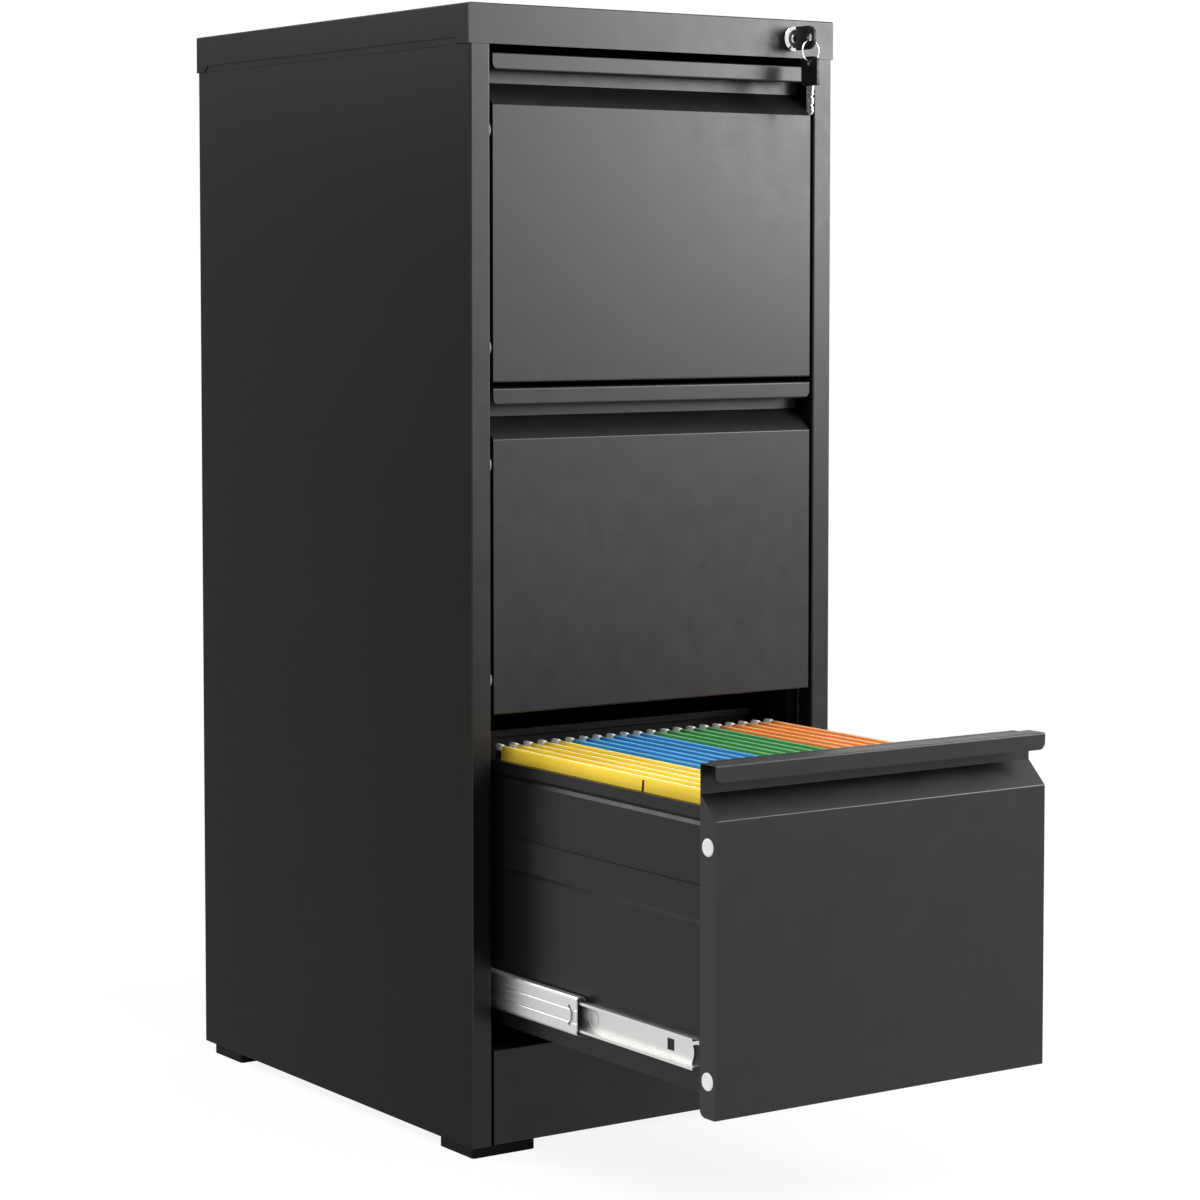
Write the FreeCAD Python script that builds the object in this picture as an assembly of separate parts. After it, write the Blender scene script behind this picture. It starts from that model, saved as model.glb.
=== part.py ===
import FreeCAD, Part
import math
import os

# Three-drawer steel filing cabinet with its bottom drawer open.
# Sizes are in millimetres. X runs to the right, Y to the back and Z up. The origin is on the
# floor, under the middle of the space that the cabinet takes with its bottom drawer open.

# Cabinet body
body_width = 402.0
body_depth = 516.0
body_height = 1020.0
body_sheet = 0.8
body_bend = 1.6
stile_width = 20.5
stile_return = 18.0
rear_flange = 18.0
back_flange = 12.0
pan_flange = 20.0
pan_inset = 1.2
pan_gap = 0.4

# Top cap, a tray that drops over the side panels
cap_height = 35.6
cap_gap = 0.4
cap_edge_radius = 1.4
cap_relief_height = 6.2
cap_relief_end = 21.0
cap_relief_slant = 6.0
cap_liner_height = 16.0

# Kick plate under the bottom drawer
kick_height = 87.2
kick_gap = 2.2
kick_flange = 18.0

# Feet
foot_height = 9.0
foot_width = 66.0
foot_length = 57.0
foot_rear_inset = 20.0
foot_side_inset = 0.6
foot_corner = 2.5
foot_steps = 3

# Uprights that carry the slides, two on each side
upright_setback = 34.0
upright_width = 30.0
upright_foot = 9.0
upright_rear_setback = 112.0
upright_sheet = 1.0
upright_top_gap = 5.0

# Rails across the body, behind the gaps between the fronts
divider_height = 9.0
divider_depth = 14.0
divider_rise = 1.5
divider_setback = 3.0

# Drawers
drawer_count = 3
drawer_open = 335.0
top_gap = 7.4
drawer_gap = 4.8
bottom_gap = 5.6
side_gap = 3.5
front_recess = 1.0

# Drawer front with its full-width finger pull
front_sheet = 0.8
front_bend = 1.5
front_steps = 4
lip_height = 15.0
lip_hem = 5.0
lip_corner = 7.0
pull_depth = 22.0
recess_drop = 26.0
chamfer_drop = 46.0
bottom_return = 16.0
flange_corner = 6.0
plug_hole_radius = 6.5
plug_top_drop = 22.0
plug_bottom_rise = 31.0
plug_head_radius = 7.5
plug_head_height = 1.2
plug_stem_gap = 0.2
plug_stem_length = 4.0
plug_stem_wall = 1.2
plug_sides = 16

# Inner front, behind the finger pull
liner_hem = 5.0
liner_hem_drop = 6.0
liner_overlap = 0.8
liner_rise = 4.0

# Drawer box
box_sheet = 0.8
box_depth = 385.0
box_rise = 14.0
rim_drop = 39.0
rim_width = 5.5
rim_fold = 7.0
box_flange = 14.0
groove_drop = 13.0
groove_depth = 2.4
groove_half = 3.2
ledge_drop = 66.0
band_height = 28.0
band_step = 1.5
band_taper = 4.0
back_drop = 20.0
back_hem = 7.0
back_hem_drop = 6.0
floor_gap = 0.2

# Rails that hanging folders hook onto
rail_sheet = 1.2
rail_shelf = 9.0
rail_leg = 10.0
rail_upstand = 8.0
rail_rise = 7.0
rail_spacing = 330.0
rear_rail_height = 22.0

# Ball-bearing slides: cabinet, middle and drawer members with ball cages between
slide_length = 400.0
slide_thickness = 12.7
slide_setback = 41.0
slide_inset = 4.3
slide_rise = 33.0
member_sheet = 1.1
ball_radius = 2.0
race_gap = 0.15
race_steps = 3
cabinet_member_height = 45.5
cabinet_member_depth = 8.5
cabinet_lip_length = 4.0
middle_web_gap = 1.1
middle_lip_gap = 1.1
middle_lip_length = 3.9
drawer_lip_height = 1.3
drawer_lip_gap = 1.3
cage_sheet = 0.4
cage_gap = 0.35
cage_length = 180.0
outer_cage_start = 110.0
inner_cage_start = 90.0
square_hole = 10.0
square_hole_setback = 35.0
web_line_rise = 5.6
web_line_half = 0.7
web_line_depth = 0.4
latch_hole_front = 4.0
latch_hole_back = 9.4
latch_hole_half = 5.2
latch_arm_end = 13.6
latch_arm_rise = 9.6
latch_arm_width = 1.9
end_corner_height = 5.0
end_notch_depth = 8.8
end_tongue_setback = 5.8
end_foot_setback = 10.0
ring_setback = 155.0
ring_radius = 8.0
ring_width = 1.1
ring_depth = 0.45
ring_sides = 20

# Lock in the cap's front
lock_side_inset = 45.0
lock_flange_radius = 11.5
lock_flange_height = 2.6
lock_flange_edge = 0.7
lock_dome_rise = 1.4
lock_dome_shoulder = 0.45
lock_body_radius = 9.4
lock_body_end = 22.5
lock_hole_gap = 0.15
lock_bore_gap = 0.08
lock_nut_size = 24.0
lock_nut_height = 4.0
barrel_sides = 24
plug_radius = 5.9
plug_nose = 1.0
plug_nose_radius = 4.6
keyway_gap = 0.25
plug_tail_radius = 3.9
plug_tail_overrun = 0.6
cam_gap = 0.3
cam_thickness = 2.0
cam_hub_radius = 6.5
cam_hub_corner = 5.8
cam_eye_radius = 4.5
stud_radius = 2.5
stud_throw = 8.0
stud_gap = 0.4
stud_overrun = 1.0

# Bar that the lock lifts, with one tab for each drawer
bar_stile_inset = 9.5
bar_width = 10.0
bar_sheet = 2.0
bar_setback = 26.0
bar_flag_above = 7.0
bar_flag_below = 8.5
bar_flag_end = 5.0
tab_rise = 200.0
tab_height = 6.0
tab_reach = 14.5
catch_lift = 4.0
catch_height = 9.0
catch_reach = 8.5
catch_gap = 2.5
catch_sheet = 2.0
guide_wall = 2.4
guide_gap = 0.4
guide_height = 14.0
guide_front = 3.0
guide_stop_gap = 0.3
upper_guide_rise = 120.0

# Key in the lock
key_head_length = 28.0
key_head_width = 22.0
key_head_thickness = 2.6
key_head_corner = 2.0
key_head_round = 9.0
key_steps = 7
key_hole_radius = 3.9
key_hole_setback = 7.0
key_hole_sides = 24
key_blade_length = 27.0
key_blade_width = 8.6
key_blade_thickness = 2.0
key_blade_tip = 4.0
tooth_count = 5
tooth_depth = 1.6
tooth_shallow = 1.0
tooth_pitch = 4.0
tooth_start = 6.0

# Hanging folders that the open drawer holds, and the bars that carry them
folder_pitch = 15.2
folder_card = 1.2
folder_floor_gap = 15.3
folder_side_gap = 1.0
folder_end_gap = 3.0
bar_strip = 0.8
bar_strip_height = 10.0
bar_hook_length = 9.0
bar_hook_height = 5.0
bar_top_gap = 0.6
hook_seat_gap = 0.3

# How far a cut passes the surface it opens
margin = 1.0

# Places worked out from the sizes above
half_width = body_width / 2
opening_half = half_width - stile_width
front_half = opening_half - side_gap
member_face = opening_half - slide_inset
wall_face = member_face - slide_thickness
cap_overhang = cap_gap + body_sheet
base_z = foot_height
top_z = base_z + body_height
cap_bottom = top_z - cap_height
kick_top = base_z + kick_height
stile_y = (drawer_open - front_recess - body_depth - cap_overhang) / 2
back_y = stile_y + body_depth
front_y = stile_y + front_recess
liner_y = front_y + pull_depth
box_y = liner_y + front_sheet
box_back_y = box_y + box_depth
pan_z = base_z + body_sheet
front_height = (cap_bottom - top_gap - kick_top - bottom_gap
                - (drawer_count - 1) * drawer_gap) / drawer_count
slide_y = stile_y + slide_setback
lock_x = half_width - lock_side_inset
lock_z = top_z - cap_height / 2
bar_x = opening_half + bar_stile_inset
lock_face_y = stile_y - cap_overhang
stud_reach = stud_throw * math.sqrt(0.5)
front_rail_y = box_y + rail_shelf
rear_rail_y = front_rail_y + rail_spacing


def vec(x, y, z):
    """Vector with three parts."""
    return FreeCAD.Vector(x, y, z)


# Each axis has the two directions that an outline is drawn in and the one it is extruded along
PLANES = {
    "x": (vec(0, 1, 0), vec(0, 0, 1), vec(1, 0, 0)),
    "y": (vec(1, 0, 0), vec(0, 0, 1), vec(0, 1, 0)),
    "z": (vec(1, 0, 0), vec(0, 1, 0), vec(0, 0, 1)),
}


def block(x0, x1, y0, y1, z0, z1):
    """Rectangular solid between two corners."""
    return Part.makeBox(x1 - x0, y1 - y0, z1 - z0, vec(x0, y0, z0))


def rod(radius, start, direction, length):
    """Round solid from a point along a direction."""
    return Part.makeCylinder(radius, length, start, direction)


def mirrored(shape):
    """The same piece on the other side of the cabinet."""
    return shape.mirror(vec(0, 0, 0), vec(1, 0, 0))


def fused(first, *others):
    """One solid from touching ones, without seams on its flat faces."""
    return first.fuse(list(others)).removeSplitter()


def corner_arc(before, corner, after, radius):
    """Start, middle and end of the arc that rounds a corner."""
    back = (before - corner).normalize()
    ahead = (after - corner).normalize()
    half_angle = back.getAngle(ahead) / 2
    inward = (back + ahead).normalize()
    reach = radius / math.tan(half_angle)
    middle = corner + inward * (radius / math.sin(half_angle) - radius)
    return corner + back * reach, middle, corner + ahead * reach


def chords(arc, steps):
    """Straight edges that follow an arc."""
    spots = arc.discretize(steps + 1)
    return [Part.LineSegment(a, b).toShape() for a, b in zip(spots, spots[1:])]


def outline_face(points, axis, level, steps=0):
    """Flat face from (a, b, corner radius) points, square to an axis. Corners are arcs, or that
    many straight steps each on pieces that repeat often."""
    across, up, along = PLANES[axis]
    corners = [across * a + up * b + along * level for a, b, radius in points]
    count = len(points)
    bends = []
    for i, (a, b, radius) in enumerate(points):
        if radius > 0:
            bends.append(corner_arc(corners[i - 1], corners[i], corners[(i + 1) % count], radius))
        else:
            bends.append((corners[i], None, corners[i]))
    edges = []
    for i, (start, middle, end) in enumerate(bends):
        if middle is not None:
            arc = Part.Arc(start, middle, end).toShape()
            edges += chords(arc, steps) if steps else [arc]
        following = bends[(i + 1) % count][0]
        if end.distanceToPoint(following) > 1e-6:
            edges.append(Part.LineSegment(end, following).toShape())
    return Part.Face(Part.Wire(edges))


def prism(points, axis, start, stop, steps=0):
    """Solid with a constant outline between two levels on an axis."""
    along = PLANES[axis][2]
    return outline_face(points, axis, start, steps).extrude(along * (stop - start))


def strip_outline(path, thickness, outside=0.0, inside=0.0):
    """Outline of folded sheet metal. The path is one face of the sheet, its thickness lies to
    the right of the path, and the folds have an outside and an inside radius."""
    spots = [vec(a, b, 0) for a, b in path]
    steps = [(after - before).normalize() for before, after in zip(spots, spots[1:])]
    rights = [vec(step.y, -step.x, 0) for step in steps]
    near = [(path[0][0], path[0][1], 0)]
    start = spots[0] + rights[0] * thickness
    far = [(start.x, start.y, 0)]
    for i in range(1, len(spots) - 1):
        turn_right = steps[i - 1].cross(steps[i]).z < 0
        lean = (rights[i - 1] + rights[i]) * (thickness / (1 + rights[i - 1].dot(rights[i])))
        spot = spots[i] + lean
        near.append((path[i][0], path[i][1], outside if turn_right else inside))
        far.append((spot.x, spot.y, inside if turn_right else outside))
    end = spots[-1] + rights[-1] * thickness
    near.append((path[-1][0], path[-1][1], 0))
    far.append((end.x, end.y, 0))
    return near + far[::-1]


def folded(path, thickness, outside, axis, start, stop, steps=0):
    """Folded sheet metal of constant section between two levels on an axis."""
    return prism(strip_outline(path, thickness, outside), axis, start, stop, steps)


def few_sided(radius, a, b, axis, start, stop, sides):
    """Round piece along an axis, drawn with few sides because it repeats or lies hidden."""
    angles = [2 * math.pi * i / sides for i in range(sides)]
    points = [(a + radius * math.cos(angle), b + radius * math.sin(angle), 0) for angle in angles]
    return prism(points, axis, start, stop)


def turned(points, x, z):
    """Solid turned about an axis along Y, from (radius, y) points."""
    spots = [vec(x + radius, y, z) for radius, y in points]
    face = Part.Face(Part.makePolygon(spots + spots[:1]))
    return face.revolve(vec(x, 0, z), vec(0, 1, 0), 360)


def side_panel():
    """Left side panel, folded at the front into the stile and at the back into a flange."""
    path = [
        (-opening_half, stile_y + stile_return),
        (-opening_half, stile_y),
        (-half_width, stile_y),
        (-half_width, back_y),
        (-half_width + rear_flange, back_y),
    ]
    return folded(path, body_sheet, body_bend, "z", base_z, top_z - body_sheet)


def back_panel():
    """Back panel, folded forward at its top and bottom, held by the side panels' flanges."""
    back = back_y - body_sheet
    half = half_width - body_sheet - body_bend
    path = [
        (back - back_flange, top_z - body_sheet),
        (back, top_z - body_sheet),
        (back, base_z),
        (back - back_flange, base_z),
    ]
    return folded(path, body_sheet, body_bend, "x", -half, half)


def cap_relief(side):
    """Space cut up into the cap's side flange, from behind the front to near the back."""
    outer = half_width + cap_overhang + margin
    inner = half_width + cap_gap
    front = stile_y + cap_relief_end
    back = back_y - cap_relief_end
    top = cap_bottom + cap_relief_height
    points = [
        (front, cap_bottom - margin, 0),
        (front, top, 0),
        (back, top, 0),
        (back + cap_relief_slant, cap_bottom, 0),
        (back + cap_relief_slant, cap_bottom - margin, 0),
    ]
    return prism(points, "x", min(side * outer, side * inner), max(side * outer, side * inner))


def top_cap():
    """Top cap with its four flanges, the reliefs in its side flanges and the lock's hole."""
    half = half_width + cap_overhang
    front = stile_y - cap_overhang
    back = back_y + cap_overhang
    shell = block(-half, half, front, back, cap_bottom, top_z)
    rounded = [edge for edge in shell.Edges if edge.BoundBox.ZMin > cap_bottom + margin]
    shell = shell.makeFillet(cap_edge_radius, rounded)
    hollow = block(-half + body_sheet, half - body_sheet, front + body_sheet,
                   back - body_sheet, cap_bottom - margin, top_z - body_sheet)
    cap = shell.cut(hollow)
    for side in (-1, 1):
        cap = cap.cut(cap_relief(side))
        strip = block(min(side * half_width, side * (half_width + cap_gap)),
                      max(side * half_width, side * (half_width + cap_gap)),
                      stile_y, back_y, cap_bottom, cap_bottom + cap_liner_height)
        cap = cap.fuse(strip)
    hole = rod(lock_body_radius + lock_hole_gap, vec(lock_x, front - margin, lock_z),
               vec(0, 1, 0), body_sheet + 2 * margin)
    return cap.cut(hole).removeSplitter()


def base_pan():
    """Bottom sheet with upturned edges, resting on the flanges of the kick plate and back."""
    half = half_width - body_sheet
    path = [
        (-half, pan_z + pan_flange),
        (-half, pan_z),
        (half, pan_z),
        (half, pan_z + pan_flange),
    ]
    front = stile_y + stile_return + pan_inset
    back = back_y - 2 * body_sheet - pan_gap
    pan = folded(path[::-1], body_sheet, 0, "y", front, back)
    tongue_half = opening_half - kick_gap - 2 * body_sheet
    tongue = block(-tongue_half, tongue_half, stile_y + body_sheet + pan_gap, front + margin,
                   pan_z, pan_z + body_sheet)
    return fused(pan, tongue)


def kick_plate():
    """Kick plate between the stiles, with flanges at its top, bottom and both ends."""
    half = opening_half - kick_gap
    path = [
        (stile_y + kick_flange, kick_top),
        (stile_y, kick_top),
        (stile_y, base_z),
        (stile_y + kick_flange, base_z),
    ]
    plate = folded(path[::-1], body_sheet, body_bend, "x", -half, half)
    cheek_points = [
        (stile_y + body_sheet / 2, base_z + body_sheet / 2, 0),
        (stile_y + kick_flange, base_z + body_sheet / 2, 0),
        (stile_y + kick_flange, kick_top - body_sheet / 2, 0),
        (stile_y + body_sheet / 2, kick_top - body_sheet / 2, 0),
    ]
    left = prism(cheek_points, "x", -half, -half + body_sheet)
    right = prism(cheek_points, "x", half - body_sheet, half)
    return fused(plate, left, right)


def feet():
    """Four pads under the corners of the body."""
    pads = []
    for side in (-1, 1):
        outer = side * (half_width - foot_side_inset)
        inner = outer - side * foot_width
        for front in (stile_y + foot_side_inset, back_y - foot_rear_inset - foot_length):
            corners = [
                (inner, front, foot_corner),
                (outer, front, foot_corner),
                (outer, front + foot_length, foot_corner),
                (inner, front + foot_length, foot_corner),
            ]
            pads.append(prism(corners, "z", 0, foot_height, foot_steps))
    return pads


def upright(start):
    """Left hat-section upright between the side panel and the slides' cabinet members."""
    side = -half_width + body_sheet
    web = -member_face - upright_sheet
    end = start + upright_width
    path = [
        (side, start - upright_foot),
        (side, start),
        (web, start),
        (web, end),
        (side, end),
        (side, end + upright_foot),
    ]
    foot_z = pan_z + pan_flange
    head_z = top_z - body_sheet - upright_top_gap
    return folded(path, upright_sheet, 0, "z", foot_z, head_z)


def slide_uprights():
    """Front and rear uprights on both sides."""
    lefts = [upright(stile_y + upright_setback), upright(back_y - upright_rear_setback)]
    return lefts + [mirrored(left) for left in lefts]


def divider_rails():
    """Angle rails across the body between neighbouring drawers."""
    rails = []
    start = stile_y + upright_setback + divider_setback
    for bottom in front_bottoms[:-1]:
        low = bottom + divider_rise
        path = [
            (start, low + divider_height),
            (start, low),
            (start + divider_depth, low),
        ]
        rails.append(folded(path[::-1], body_sheet, 0, "x", -member_face, member_face))
    return rails


def pull_corner_cut(side, top):
    """Piece that leaves the lip's lower corner round when it is cut away."""
    low = top - lip_height
    tip = side * (front_half + margin)
    inner = side * (front_half - lip_corner)
    corner = block(min(tip, inner), max(tip, inner), front_y - margin,
                   front_y + lip_hem + margin, low - margin, low + lip_corner)
    round_bar = rod(lip_corner, vec(inner, front_y - 2 * margin, low + lip_corner),
                    vec(0, 1, 0), lip_hem + 4 * margin)
    return corner.cut(round_bar)


def drawer_front(bottom):
    """Drawer front: lip, finger recess, slope and panel from one sheet, with side flanges."""
    top = bottom + front_height
    inner = front_y + front_sheet
    path = [
        (front_y + lip_hem, top - lip_height),
        (front_y, top - lip_height),
        (front_y, top),
        (front_y + pull_depth, top),
        (front_y + pull_depth, top - recess_drop),
        (inner, top - chamfer_drop),
        (inner, bottom + front_sheet),
        (front_y + bottom_return, bottom + front_sheet),
    ]
    shell = folded(path, front_sheet, front_bend, "x", -front_half, front_half, front_steps)
    slope = (pull_depth - front_sheet) / (chamfer_drop - recess_drop)
    hidden = front_sheet / 2
    flange_points = [
        (front_y + hidden, bottom + hidden, 0),
        (front_y + pull_depth, bottom + hidden, flange_corner),
        (front_y + pull_depth, top - recess_drop, 0),
        (front_y + hidden, top - chamfer_drop - hidden / slope, 0),
    ]
    flange = prism(flange_points, "x", -front_half, -front_half + front_sheet)
    front = fused(shell, flange, mirrored(flange))
    for side in (-1, 1):
        front = front.cut(pull_corner_cut(side, top))
    for height in plug_heights(bottom):
        drill = few_sided(plug_hole_radius, plug_y, height, "x", -front_half - margin,
                          front_half + margin, plug_sides)
        front = front.cut(drill)
    return front


def plug_heights(bottom):
    """Heights of the two plugs in each side flange of a front."""
    return (bottom + plug_bottom_rise, bottom + front_height - chamfer_drop - plug_top_drop)


plug_y = front_y + pull_depth / 2


def hole_plugs(bottom):
    """Push-in plugs for the holes in the front's side flanges, each a cap on a crossed stem."""
    reach = plug_hole_radius - plug_stem_gap
    half = plug_stem_wall / 2
    start = -front_half
    end = start + plug_stem_length
    plugs = []
    for height in plug_heights(bottom):
        head = few_sided(plug_head_radius, plug_y, height, "x", start - plug_head_height,
                         start, plug_sides)
        flat = block(start, end, plug_y - reach, plug_y + reach, height - half, height + half)
        upright_web = block(start, end, plug_y - half, plug_y + half, height - reach,
                            height + reach)
        plug = fused(head, flat, upright_web)
        plugs += [plug, mirrored(plug)]
    return plugs


def front_liner(bottom):
    """Inner front, a sheet behind the finger recess with its top edge folded over."""
    top = bottom + front_height
    path = [
        (liner_y, bottom + liner_rise),
        (liner_y, top),
        (liner_y + liner_hem, top),
        (liner_y + liner_hem, top - liner_hem_drop),
    ]
    half = wall_face + liner_overlap
    return folded(path, front_sheet, 0, "x", -half, half)


def box_side(bottom):
    """Left wall of the drawer box, with its foot, pressed band, groove and folded rim."""
    wall = -wall_face
    low = bottom + box_rise
    rim = bottom + front_height - rim_drop
    groove = rim - groove_drop
    ledge = rim - ledge_drop
    band_low = ledge - band_height
    path = [
        (wall + box_flange, low),
        (wall, low),
        (wall, band_low - band_taper),
        (wall - band_step, band_low),
        (wall - band_step, ledge),
        (wall, ledge),
        (wall, groove - groove_half),
        (wall + groove_depth, groove),
        (wall, groove + groove_half),
        (wall, rim),
        (wall + rim_width, rim),
        (wall + rim_width, rim - rim_fold),
    ]
    return folded(path, box_sheet, 0, "y", box_y, box_back_y)


def lock_catch(bottom):
    """Bracket on the right wall that the lock bar's tab stands in front of."""
    low = bottom + tab_rise + tab_height + catch_lift
    start = stile_y + bar_setback + bar_sheet + catch_gap
    plate = block(wall_face, wall_face + catch_reach, start, start + catch_sheet,
                  low, low + catch_height)
    foot = block(wall_face, wall_face + catch_sheet, start, start + catch_height,
                 low, low + catch_height)
    return fused(plate, foot)


def box_floor(bottom):
    """Floor of the drawer box, resting on the feet of its walls."""
    half = wall_face - box_sheet - floor_gap
    low = bottom + box_rise + box_sheet
    return block(-half, half, box_y + floor_gap, box_back_y - box_sheet - floor_gap,
                 low, low + box_sheet)


def box_back(bottom):
    """Back wall of the drawer box, between its side walls, with its top edge folded."""
    half = wall_face - box_sheet
    low = bottom + box_rise + 2 * box_sheet
    top = bottom + front_height - back_drop
    path = [
        (box_back_y - back_hem, top - back_hem_drop),
        (box_back_y - back_hem, top),
        (box_back_y, top),
        (box_back_y, low),
    ]
    wall = folded(path, box_sheet, 0, "x", -half, half)
    notch = block(-half - margin, -half + rim_width + margin, box_back_y - back_hem - margin,
                  box_back_y + margin, groove_foot(bottom), top + margin)
    return wall.cut(notch).cut(mirrored(notch))


def groove_foot(bottom):
    """Height just below the groove in the walls, where pieces between them may touch them."""
    return bottom + front_height - rim_drop - groove_drop - groove_half - margin


def hanging_rails(bottom):
    """Front rail on the inner front and rear rail across the box, for hanging folders."""
    half = wall_face - box_sheet
    top = rail_top(bottom)
    low = top - rail_upstand
    path = [
        (box_y, low - rail_leg),
        (box_y, low),
        (front_rail_y, low),
        (front_rail_y, top),
    ]
    front_section = strip_outline(path, rail_sheet)
    inside = half - rim_width
    front = prism(front_section, "x", -inside, inside)
    hidden_top = groove_foot(bottom)
    rear = block(-half, half, rear_rail_y, rear_rail_y + rail_sheet,
                 hidden_top - rear_rail_height, hidden_top)
    raised = block(-inside, inside, rear_rail_y, rear_rail_y + rail_sheet, hidden_top, top)
    return [front, fused(rear, raised)]


def rail_top(bottom):
    """Height of the edge that the folders' hooks sit on."""
    return bottom + front_height - rim_drop + rail_rise


def slide_centre(bottom):
    """Height of the middle of a drawer's slides."""
    return bottom + box_rise + slide_rise


def member(path, centre):
    """Left slide member: path holds (distance from the cabinet face, height) points."""
    points = [(-member_face + across, centre + height) for across, height in path]
    section = strip_outline(points, member_sheet, race_radius + member_sheet, race_radius)
    return prism(section, "y", slide_y, slide_y + slide_length, race_steps)


race_radius = ball_radius + race_gap
outer_ball_height = cabinet_member_height / 2 - member_sheet - race_radius
middle_half = outer_ball_height - race_radius
inner_ball_height = middle_half - member_sheet - race_radius
drawer_half = inner_ball_height - race_radius


def cabinet_member(centre):
    """C-section fixed to the uprights, its lips curled round the outer row of balls."""
    top = cabinet_member_height / 2
    lip = top - cabinet_lip_length
    path = [
        (cabinet_member_depth, -lip),
        (cabinet_member_depth, -top),
        (0, -top),
        (0, top),
        (cabinet_member_depth, top),
        (cabinet_member_depth, lip),
    ]
    return member(path, centre)


def web_line(height):
    """Pressed line along the outside of the left middle member's web, to be cut away."""
    outer = -member_face + member_sheet + middle_web_gap
    points = [
        (outer - margin, height - web_line_half, 0),
        (outer, height - web_line_half, 0),
        (outer + web_line_depth, height, 0),
        (outer, height + web_line_half, 0),
        (outer - margin, height + web_line_half, 0),
    ]
    return prism(points, "y", slide_y - margin, slide_y + slide_length + margin)


def latch_hole(centre):
    """Hole near the middle member's front end, with two arms that lean back, to be cut away."""
    front = slide_y + latch_hole_front
    back = slide_y + latch_hole_back
    arm = slide_y + latch_arm_end
    half = latch_hole_half
    points = [
        (front, centre - half, 0),
        (arm - latch_arm_width, centre - latch_arm_rise, 0),
        (arm, centre - latch_arm_rise + latch_arm_width, 0),
        (back, centre - half + latch_arm_width, 0),
        (back, centre + half - latch_arm_width, 0),
        (arm, centre + latch_arm_rise - latch_arm_width, 0),
        (arm - latch_arm_width, centre + latch_arm_rise, 0),
        (front, centre + half, 0),
    ]
    web = -member_face + member_sheet + middle_web_gap
    return prism(points, "x", web - margin, web + member_sheet + margin)


def middle_member(centre):
    """C-section that runs in the cabinet member and carries the drawer member."""
    web = member_sheet + middle_web_gap
    edge = slide_thickness - middle_lip_gap
    lip = middle_half - middle_lip_length
    path = [
        (edge, -lip),
        (edge, -middle_half),
        (web, -middle_half),
        (web, middle_half),
        (edge, middle_half),
        (edge, lip),
    ]
    channel = member(path, centre)
    for rise in (-web_line_rise, web_line_rise):
        channel = channel.cut(web_line(centre + rise))
    return channel.cut(latch_hole(centre))


def front_end_cut(centre):
    """Space cut into the drawer member's front end: it leaves a corner above, a rounded tongue
    in the middle and the lower lip below."""
    low = centre - drawer_half + member_sheet
    corner = centre + drawer_half - end_corner_height
    points = [
        (slide_y - margin, corner, 0),
        (slide_y + end_tongue_setback / 2, corner, 0),
        (slide_y + end_notch_depth, corner - end_corner_height / 3, 0),
        (slide_y + end_tongue_setback, centre, end_foot_setback),
        (slide_y + end_foot_setback, low + member_sheet, 0),
        (slide_y + end_foot_setback, low, 0),
        (slide_y - margin, low, 0),
    ]
    return prism(points, "x", -member_face - margin, -wall_face + margin, race_steps)


def drawer_member(centre):
    """C-section on the drawer's wall, with turned-out lips, a square hole near its front, a
    pressed ring and a shaped front end."""
    lip_edge = member_sheet + middle_web_gap + member_sheet + drawer_lip_gap
    lip_top = drawer_half + drawer_lip_height
    path = [
        (lip_edge, lip_top),
        (lip_edge, drawer_half - member_sheet),
        (slide_thickness - member_sheet, drawer_half - member_sheet),
        (slide_thickness - member_sheet, member_sheet - drawer_half),
        (lip_edge, member_sheet - drawer_half),
        (lip_edge, -lip_top),
    ]
    points = [(-member_face + across, centre + height) for across, height in path]
    outline = strip_outline(points[::-1], member_sheet)
    channel = prism(outline, "y", slide_y, slide_y + slide_length)
    start = slide_y + square_hole_setback
    hole = block(-member_face, -wall_face + margin, start, start + square_hole,
                 centre - square_hole / 2, centre + square_hole / 2)
    ring = few_sided(ring_radius, slide_y + ring_setback, centre, "x", -member_face,
                     -wall_face - member_sheet + ring_depth, ring_sides)
    inside = few_sided(ring_radius - ring_width, slide_y + ring_setback, centre, "x",
                       -member_face, -wall_face, ring_sides)
    return channel.cut(hole).cut(front_end_cut(centre)).cut(ring.cut(inside))


def cage(web, edge, ball_height, centre, start):
    """Left ball cage: a thin channel whose flanges lie in the two rows of balls."""
    top = ball_height + cage_sheet / 2
    path = [(edge, -top), (web, -top), (web, top), (edge, top)]
    points = [(-member_face + across, centre + height) for across, height in path]
    return folded(points, cage_sheet, 0, "y", slide_y + start, slide_y + start + cage_length)


def outer_cage(centre):
    """Cage between the cabinet member and the middle member."""
    web = member_sheet + cage_gap
    edge = cabinet_member_depth - member_sheet - cage_gap
    return cage(web, edge, outer_ball_height, centre, outer_cage_start)


def inner_cage(centre):
    """Cage between the middle member and the drawer member."""
    web = member_sheet + middle_web_gap + member_sheet + cage_gap
    edge = slide_thickness - middle_lip_gap - member_sheet - cage_gap
    return cage(web, edge, inner_ball_height, centre, inner_cage_start)


def pair(shape):
    """A left piece and its mirror image."""
    return [shape, mirrored(shape)]


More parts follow.
